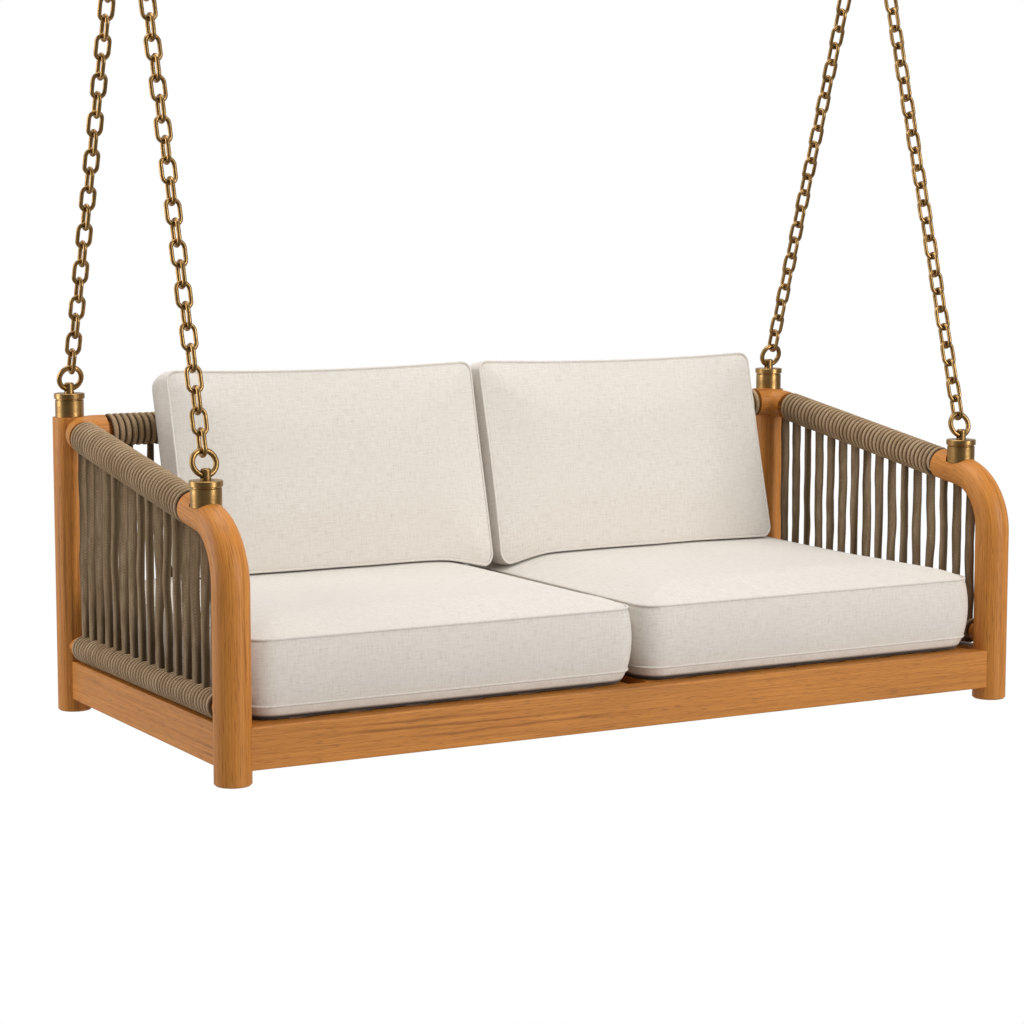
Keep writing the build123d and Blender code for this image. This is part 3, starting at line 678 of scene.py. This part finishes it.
# where they stand, in millimetres, and how far their tops go into the cord or the bare wood
strandRows = {
    "spacing": 43,
    "sideCount": 16,
    "rearCount": 36,
    "footZ": 148,
    "rearTopZ": 520,
    "halfWide": 7,
    "cordBelowMiddle": 32.4,
    "woodBelowMiddle": 30.5,
    "intoCord": 6,
    "intoWood": 8,
    "bendEndY": -294,
    "bendMiddle": (-278, 337),
    "bendInner": 79,
}


def rowPlaces(count):
    return [strandRows["spacing"] * (k - (count - 1) / 2) for k in range(count)]


def sideStrandLines(x):
    rows = strandRows
    (frontY, frontZ), (rearY, rearZ) = bench["armFront"], bench["armRear"]
    slopeRise = (rearZ - frontZ) / (rearY - frontY)
    bendY, bendZ = rows["bendMiddle"]
    lines = []
    for y in rowPlaces(rows["sideCount"]):
        slopeZ = frontZ + (y - frontY) * slopeRise
        if frontY < y - rows["halfWide"] and y + rows["halfWide"] < rearY:
            top = slopeZ - rows["cordBelowMiddle"] + rows["intoCord"]
        elif y < rows["bendEndY"]:
            top = bendZ + math.sqrt(rows["bendInner"] ** 2 - (y - bendY) ** 2) + rows["intoWood"]
        else:
            top = slopeZ - rows["woodBelowMiddle"] + rows["intoWood"]
        lines.append((spot(x, y, rows["footZ"]), spot(x, y, top)))
    return lines


def rearStrandLines():
    railY = bench["rail"][0]
    lines = []
    for x in rowPlaces(strandRows["rearCount"]):
        foot = spot(x, bench["rearBarY"], strandRows["footZ"])
        lines.append((foot, spot(x, railY, strandRows["rearTopZ"])))
    return lines


def modelStrand():
    # one metre of oval cord, slowly twisted
    dropSelection()
    bpy.ops.mesh.primitive_circle_add(vertices=strandLook["sides"], radius=1)
    piece = bpy.context.object
    bpy.ops.object.mode_set(mode="EDIT")
    bpy.ops.mesh.select_all(action="SELECT")
    bpy.ops.transform.resize(value=(strandLook["wide"], strandLook["deep"], 1))
    bpy.ops.object.mode_set(mode="OBJECT")
    screwUp(piece, strandLook["twist"], 1.0, 1, strandLook["steps"])
    applyAll(piece)
    closeEnds()
    return piece


def hangStrand(model, start, end, wideSide, seed):
    look = strandLook
    slices = look["noiseSlices"]
    draw = random.Random(seed)
    run = end - start
    piece = ownCopy(model)
    phase = draw.uniform(*look["phase"])
    untwist = draw.uniform(*look["untwist"])
    startTurn = draw.uniform(*look["startTurn"])
    ways = []
    for point in piece.data.vertices:
        x, y, share = point.co
        z = share * run.length
        # how near the narrow rims, for the painted shade between strands
        rim = (math.hypot(x, y) - look["deep"]) / (look["wide"] - look["deep"])
        ways.append((z + phase, math.atan2(y, x) / fullTurn, rim))
        swell = 1 + look["swell"] * noise.noise((z * look["swellWaves"], phase, slices["swell"]))
        turned = Matrix.Rotation(startTurn + untwist * share, 2) @ Vector((x * swell, y * swell))
        waver = look["waver"] * math.sin(math.pi * share)
        turned.x += waver * noise.noise((z * look["waverWaves"], phase, slices["waverX"]))
        turned.y += waver * noise.noise((z * look["waverWaves"], phase, slices["waverY"]))
        point.co = (turned.x, turned.y, z)
    markCord(piece, ways)
    standAlong(piece, start, run, wideSide)
    return piece


wideDeep = Vector((0, 1, 0))
wideAcross = Vector((1, 0, 0))
strandSets = {
    "left_strands": (sideStrandLines(-rightX), wideDeep),
    "right_strands": (sideStrandLines(rightX), wideDeep),
    "rear_strands": (rearStrandLines(), wideAcross),
}
oneStrand = modelStrand()
for name, (lines, wideSide) in strandSets.items():
    parts = []
    for k, (start, end) in enumerate(lines):
        parts.append(hangStrand(oneStrand, start, end, wideSide, name + str(k)))
    dressCord(joinUp(parts, "cord_" + name), name, shadedStrandCord)
bpy.data.objects.remove(oneStrand)
print("strands strung")


# cushions: sewn flat from panels, filled by cloth pressure, then piped along the seams
seatPad = {
    "wide": 0.771,
    "high": 0.735,
    "thick": 0.116,
    "corner": 0.048,
    "drawIn": 0.0,
    "drawTop": 0.0,
    "endReach": 0.012,
    "puff": 0.008,
    "shrink": 0.006,
    "swell": 0.0025,
    "swellEnd": 0.009,
    "swellFront": 0.005,
    "pipedSeams": (0, 1),
    "crown": 0.029,
    "crownReach": 0.16,
    "highest": 0.031,
    "under": 0.026,
    "underReach": 0.011,
    "voxel": 0.009,
    "cap": 0.008,
    "sideCap": 0.010,
    "underCap": 0.002,
    "piping": 0.0026,
    "dents": 0.002,
    "slant": 0.0,
    "layShift": 0.0,
    "fill": 0.8,
}
backPad = {
    "wide": 0.674,
    "high": 0.410,
    "thick": 0.080,
    "corner": 0.027,
    "drawIn": 0.002,
    "drawTop": 0.009,
    "endReach": 0.0,
    "puff": 0.006,
    "shrink": 0.005,
    "swell": 0.003,
    "swellEnd": 0.003,
    "swellFront": 0.003,
    "pipedSeams": (0,),
    "crown": 0.016,
    "crownReach": 0.13,
    "highest": 0.022,
    "under": 0.009,
    "underReach": 0.13,
    "voxel": 0.0072,
    "cap": 0.009,
    "sideCap": 0.008,
    "underCap": 0.003,
    "piping": 0.0024,
    "dents": 0.003,
    "slant": math.tan(backLean),
    "layShift": 14.0,
    "fill": 0.7,
}
# what both kinds share; seam and panel reaches are in voxels
sewing = {
    "cornerSteps": 5,
    "seamReach": 0.9,
    "panelReach": 0.4,
    "domePower": 2.8,
    "limitEase": 0.004,
    "easeShare": 0.5,
    "easeRounds": 3,
    "seamSlack": 0.002,
    "boxingTilt": 0.75,
    "endLay": (1.3, 2.1),
    "frontLay": (2.7, 3.3),
    "dentReach": 0.06,
    "dentWaves": 6,
    "dentLevel": 0.25,
}
pipingLook = {
    "inset": 0.001,
    "cornerSteps": 8,
    "cuts": 3,
    "longEdge": 0.05,
    "longCuts": 9,
    "rounds": 3,
    "lay": 4.1,
}
clothFill = {
    "quality": 5,
    "mass": 0.25,
    "tension_stiffness": 12,
    "compression_stiffness": 12,
    "shear_stiffness": 5,
    "bending_stiffness": 0.4,
    "use_pressure": True,
    "uniform_pressure_force": 4.0,
    "vertex_group_mass": "seam",
}
fillFrames = 20


def drawnIn(pad, x, y):
    # sides pull in between the corners, most at their middles
    halfX, halfY = pad["wide"] / 2, pad["high"] / 2
    pullX = pad["drawIn"] * (1 - min(1, abs(y) / halfY) ** 2) * min(1, abs(x) / halfX) ** 3
    pullY = pad["drawTop"] if y > 0 else 0
    pullY *= (1 - min(1, abs(x) / halfX) ** 2) * min(1, abs(y) / halfY) ** 3
    reach = pad["endReach"] * max(0, x / halfX) ** 2
    return x - math.copysign(pullX, x) + reach, y - math.copysign(pullY, y)


def sewOutline(pad, grow, steps):
    return roundedPlate(pad["wide"] + 2 * grow, pad["high"] + 2 * grow, pad["corner"] + grow, steps)


def fromEdge(pad, x, y):
    # distance in from the sewn outline
    halfX, halfY = pad["wide"] / 2 - pad["shrink"], pad["high"] / 2 - pad["shrink"]
    overX, overY = abs(x) - halfX + pad["corner"], abs(y) - halfY + pad["corner"]
    if overX > 0 and overY > 0:
        return pad["corner"] - math.hypot(overX, overY)
    return min(halfX - abs(x), halfY - abs(y))


def outward(pad, x, y):
    # the way out of the nearest side or corner
    overX, overY = abs(x) - pad["wide"] / 2 + pad["corner"], abs(y) - pad["high"] / 2 + pad["corner"]
    if overX > 0 and overY > 0:
        way = Vector((overX, overY)).normalized()
    else:
        way = Vector((1, 0)) if overX > overY else Vector((0, 1))
    return math.copysign(way.x, x), math.copysign(way.y, y)


def domed(edge, reach):
    share = min(1, max(0, edge / reach))
    return 1 - (1 - share) ** sewing["domePower"]


def underLimit(z, limit):
    # eases into the limit over its last few millimetres
    ease = sewing["limitEase"]
    if z < limit - ease:
        return z
    return limit - ease * math.exp((limit - ease - z) / ease)


def slanted(pad, x, y, z):
    # the underside of a leaning cushion stays level
    drop = max(0, -z) * pad["slant"] * max(0, 0.5 - y / pad["high"])
    return x, y + drop, z


def panelOf(pad, fromTop, fromBottom):
    reach = pad["voxel"] * sewing["panelReach"]
    if fromTop < reach:
        return "top"
    return "under" if fromBottom < reach else "side"


def shapePanels(piece, pad):
    seam = piece.vertex_groups.new(name="seam")
    seamReach = pad["voxel"] * sewing["seamReach"]
    panels = []
    for point in piece.data.vertices:
        x, y, z = point.co
        edge = fromEdge(pad, x, y)
        fromTop, fromBottom = abs(z), abs(z + pad["thick"])
        if edge < seamReach and min(fromTop, fromBottom) < seamReach:
            seam.add([point.index], 1.0, "REPLACE")
        panel = panelOf(pad, fromTop, fromBottom)
        panels.append(panel)
        if panel == "top":
            z += pad["crown"] * domed(edge, pad["crownReach"])
        elif panel == "under":
            z -= pad["under"] * domed(edge, pad["underReach"])
        else:
            wayX, wayY = outward(pad, x, y)
            share = min(1, fromTop / pad["thick"])
            x += wayX * pad["puff"] * 4 * share * (1 - share)
            y += wayY * pad["puff"] * 4 * share * (1 - share)
        x, y = drawnIn(pad, x, y)
        point.co = slanted(pad, x, y, z)
    return panels


def fillPanels(piece, pad, panels):
    # pressure fills the cloth, and no panel moves further than its cap
    before = [point.co.copy() for point in piece.data.vertices]
    cloth = piece.modifiers.new("fill", "CLOTH")
    for key, value in clothFill.items():
        setattr(cloth.settings, key, value)
    cloth.settings.effector_weights.gravity = 0
    cloth.point_cache.frame_start = 1
    cloth.point_cache.frame_end = fillFrames
    for step in range(1, fillFrames + 1):
        scene.frame_set(step)
    applyAll(piece)
    scene.frame_set(1)
    caps = {"top": pad["cap"], "side": pad["sideCap"], "under": pad["underCap"]}
    for point, was, panel in zip(piece.data.vertices, before, panels):
        moved = point.co - was
        if moved.length > caps[panel]:
            point.co = was + moved * (caps[panel] / moved.length)


def holdToLimits(piece, pad):
    lowest = -pad["thick"] - pad["under"]
    wideLimit, highLimit = pad["wide"] / 2 + pad["swell"], pad["high"] / 2 + pad["swell"]
    endLimit, frontLimit = pad["wide"] / 2 + pad["swellEnd"], pad["high"] / 2 + pad["swellFront"]
    for point in piece.data.vertices:
        x, y, z = point.co
        x = underLimit(x, endLimit) if x > 0 else -underLimit(-x, wideLimit)
        y = underLimit(y, highLimit) if y > 0 else -underLimit(-y, frontLimit)
        point.co = (x, y, max(lowest, underLimit(z, pad["highest"])))


def layCloth(piece, pad):
    # the cloth's flat lay, panel by panel, for the weave
    layer = piece.data.attributes.new("clothLay", "FLOAT_VECTOR", "CORNER")
    shift = pad["layShift"]
    slack = sewing["seamSlack"]
    values = []
    for face in piece.data.polygons:
        centre, normal = face.center, face.normal
        boxing = -pad["thick"] - slack < centre.z < slack and abs(normal.z) < sewing["boxingTilt"]
        for corner in face.loop_indices:
            x, y, z = piece.data.vertices[piece.data.loops[corner].vertex_index].co
            if not boxing:
                values.extend((x + shift, y, 0))
            elif abs(normal.x) > abs(normal.y):
                layX, layY = sewing["endLay"]
                values.extend((y + shift + layX, z + layY, 0))
            else:
                layX, layY = sewing["frontLay"]
                values.extend((x + shift + layX, z + layY, 0))
    layer.data.foreach_set("vector", values)


def pipeSeam(pad, seamZ):
    # covered cord let into the seam: the outline as a curve with a round bevel
    line = sewOutline(pad, -pad["shrink"] - pipingLook["inset"], pipingLook["cornerSteps"])
    bpy.ops.mesh.select_all(action="SELECT")
    bpy.ops.mesh.delete(type="ONLY_FACE")
    bpy.ops.mesh.select_all(action="SELECT")
    bpy.ops.mesh.subdivide(number_cuts=pipingLook["cuts"])
    bpy.ops.mesh.select_mode(type="EDGE")
    bpy.ops.mesh.select_all(action="DESELECT")
    shape = bmesh.from_edit_mesh(line.data)
    for edge in shape.edges:
        edge.select_set(edge.calc_length() > pipingLook["longEdge"])
    bmesh.update_edit_mesh(line.data)
    bpy.ops.mesh.subdivide(number_cuts=pipingLook["longCuts"])
    bpy.ops.mesh.select_mode(type="VERT")
    bpy.ops.object.mode_set(mode="OBJECT")
    for point in line.data.vertices:
        x, y = drawnIn(pad, point.co.x, point.co.y)
        point.co = slanted(pad, x, y, seamZ)
    pickUp(line)
    bpy.ops.object.convert(target="CURVE")
    line.data.bevel_depth = pad["piping"]
    line.data.bevel_resolution = pipingLook["rounds"]
    bpy.ops.object.convert(target="MESH")
    layer = line.data.attributes.new("clothLay", "FLOAT_VECTOR", "CORNER")
    values = []
    for loop in line.data.loops:
        x, y, z = line.data.vertices[loop.vertex_index].co
        values.extend((x + y + pad["layShift"], z + pipingLook["lay"] + x - y, 0))
    layer.data.foreach_set("vector", values)
    return line


def stuffCushion(pad):
    # local z is 0 at the top seam and minus the thickness at the bottom one
    piece = sewOutline(pad, -pad["shrink"], sewing["cornerSteps"])
    bpy.ops.mesh.select_all(action="SELECT")
    bpy.ops.mesh.extrude_region_move(TRANSFORM_OT_translate={"value": (0, 0, -pad["thick"])})
    bpy.ops.mesh.select_all(action="SELECT")
    bpy.ops.mesh.normals_make_consistent(inside=False)
    bpy.ops.object.mode_set(mode="OBJECT")
    pickUp(piece)
    piece.data.remesh_voxel_size = pad["voxel"]
    bpy.ops.object.voxel_remesh()
    panels = shapePanels(piece, pad)
    fillPanels(piece, pad, panels)
    # settle the joins between capped panels
    ease = piece.modifiers.new("ease", "SMOOTH")
    ease.factor = sewing["easeShare"]
    ease.iterations = sewing["easeRounds"]
    finer = piece.modifiers.new("finer", "SUBSURF")
    finer.levels = 1
    finer.render_levels = 1
    applyAll(piece)
    holdToLimits(piece, pad)
    layCloth(piece, pad)
    piping = [pipeSeam(pad, -level * pad["thick"]) for level in pad["pipedSeams"]]
    return joinUp([piece] + piping, "filled")


def layCushion(filled, name, pad, place, mirrored, seed):
    # its own copy, with dents of its own where no seam or rest holds it
    piece = ownCopy(filled)
    piece.name = name
    piece.data.name = name
    waves = sewing["dentWaves"]
    for point in piece.data.vertices:
        x, y, z = point.co
        if z > sewing["seamSlack"]:
            loose = min(1, fromEdge(pad, x, y) / sewing["dentReach"])
            dent = noise.noise((x * waves + seed, y * waves, 0)) - sewing["dentLevel"]
            point.co.z += pad["dents"] * loose * dent
    if mirrored:
        piece.data.transform(Matrix.Scale(-1, 4, (1, 0, 0)))
        piece.data.flip_normals()
    piece.data.transform(place)
    piece.data.materials.clear()
    piece.data.materials.append(linen)
    pickUp(piece)
    bpy.ops.object.shade_smooth()
    cushion = name.replace("_pad", "_cushion")
    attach(piece, cushion)
    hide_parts(cushion)
    print(name, "laid,", len(piece.data.polygons), "faces")
    return piece


def beside(pad):
    # middle of a cushion across the bench, in millimetres
    return bench["padGap"] / 2 + 1000 * pad["wide"] / 2


seatMiddle = spot(beside(seatPad), bench["seatFrontY"] + 1000 * seatPad["high"] / 2, bench["seatSeamZ"])
backFoot = spot(beside(backPad), *bench["backFoot"])
leanBack = Matrix((
    (1, 0, 0),
    (0, math.sin(backLean), -math.cos(backLean)),
    (0, math.cos(backLean), math.sin(backLean)),
)).to_4x4()
settleLook = {"share": 0.97, "height": 0.15, "gap": 0.0007, "most": 0.024, "lookFrom": 0.1}


def settleOnSeat(piece, seat):
    # the foot of a back cushion lies flat and follows the seat's crown down at its ends
    bpy.context.view_layer.update()
    look = settleLook
    for point in piece.data.vertices:
        height = max(look["gap"], point.co.z - backFoot.z)
        near = max(0, 1 - height / look["height"]) ** 2
        if near == 0:
            continue
        above = (point.co.x, point.co.y, backFoot.z + look["lookFrom"])
        met, below, _, _ = seat.ray_cast(above, (0, 0, -1))
        fall = backFoot.z - below.z if met else look["most"]
        fall = underLimit(max(0, fall), look["most"])
        point.co.z = backFoot.z + height - look["share"] * fall * near


filledSeat = stuffCushion(seatPad)
print("seat filled")
filledBack = stuffCushion(backPad)
print("back filled")
dentSeeds = {"right": (0.0, 14.0), "left": (5.0, 9.0)}
upBack = leanBack @ Vector((0, backPad["high"] / 2, 0))
for side, (seatSeed, backSeed) in dentSeeds.items():
    mirrored = side == "left"
    flip = -1 if mirrored else 1
    seatPlace = Matrix.Translation((flip * seatMiddle.x, seatMiddle.y, seatMiddle.z))
    seatRest = layCushion(filledSeat, side + "_seat_pad", seatPad, seatPlace, mirrored, seatSeed)
    backMiddle = Vector((flip * backFoot.x, backFoot.y, backFoot.z)) + upBack
    backPlace = Matrix.Translation(backMiddle) @ leanBack
    backRest = layCushion(filledBack, side + "_back_pad", backPad, backPlace, mirrored, backSeed)
    settleOnSeat(backRest, seatRest)
bpy.data.objects.remove(filledSeat)
bpy.data.objects.remove(filledBack)
print("cushions filled")


# studio: white floor and world, soft lamps
stageSettings = {
    "floorPlace": spot(0, 0, -1000),
    "floorSize": 6,
    "floorFade": (0.5, 1.1),
    "floorShader": {
        "Base Color": (0.93, 0.93, 0.93, 1),
        "Roughness": 0.9,
        "Specular IOR Level": 0.0,
    },
    "shine": (-0.4, 0.45, 0.19, 0.7),
    "glow": (-0.35, 0.35, 0.42, 0.40),
    "lamps": (
        ("key", spot(3300, -6900, 2500), (2.7, 5.8), 400),
        ("top", spot(-300, 300, 3500), (2.6, 2.6), 74),
        ("left", spot(-3600, 1500, 1300), (1.5, 3.0), 65),
    ),
    "lampAim": spot(0, 0, 350),
}
dropSelection()
bpy.ops.mesh.primitive_plane_add(size=stageSettings["floorSize"], location=stageSettings["floorPlace"])
floor = bpy.context.object
floor.name = "floor"
floorFinish, floorTree, floorShader = newFinish("floor_white")
setInputs(floorShader, stageSettings["floorShader"])
middleOut = add(floorTree, "ShaderNodeVectorMath", operation="LENGTH")
floorTree.links.new(ownPlace(floorTree), middleOut.inputs[0])
clear = add(floorTree, "ShaderNodeBsdfTransparent")
fade = add(floorTree, "ShaderNodeMixShader")
fadeShare = between(floorTree, middleOut.outputs["Value"], *stageSettings["floorFade"])
feed(floorTree, fadeShare, fade.inputs["Fac"])
floorTree.links.new(floorShader.outputs[0], fade.inputs[1])
floorTree.links.new(clear.outputs[0], fade.inputs[2])
floorTree.links.new(fade.outputs[0], floorTree.nodes["Material Output"].inputs["Surface"])
floor.data.materials.append(floorFinish)

world = bpy.data.worlds.new("studio")
scene.world = world
world.use_nodes = True
worldTree = world.node_tree
sky = worldTree.nodes["Background"]
sky.inputs["Color"].default_value = (1, 1, 1, 1)
rays = add(worldTree, "ShaderNodeLightPath")
seen = sum2(worldTree, "MAXIMUM", rays.outputs["Is Camera Ray"], rays.outputs["Is Transmission Ray"])
# shine shows the white background behind and beside, and the dim studio in front
wayOut = axesOf(worldTree, add(worldTree, "ShaderNodeTexCoord").outputs["Generated"])
shine = between(worldTree, wayOut["Y"], *stageSettings["shine"])
glow = between(worldTree, wayOut["Z"], *stageSettings["glow"])
lit = add(worldTree, "ShaderNodeMix")
feed(worldTree, rays.outputs["Is Glossy Ray"], lit.inputs["Factor"])
feed(worldTree, glow, lit.inputs["A"])
feed(worldTree, shine, lit.inputs["B"])
strength = add(worldTree, "ShaderNodeMix")
feed(worldTree, seen, strength.inputs["Factor"])
feed(worldTree, lit.outputs["Result"], strength.inputs["A"])
feed(worldTree, 1.0, strength.inputs["B"])
worldTree.links.new(strength.outputs["Result"], sky.inputs["Strength"])

for name, place, size, power in stageSettings["lamps"]:
    bpy.ops.object.light_add(type="AREA", location=place)
    lamp = bpy.context.object
    lamp.name = "lamp_" + name
    lamp.data.shape = "RECTANGLE"
    lamp.data.size, lamp.data.size_y = size
    lamp.data.energy = power
    aim = stageSettings["lampAim"] - place
    lamp.rotation_euler = aim.to_track_quat("-Z", "Y").to_euler()
print("stage lit")
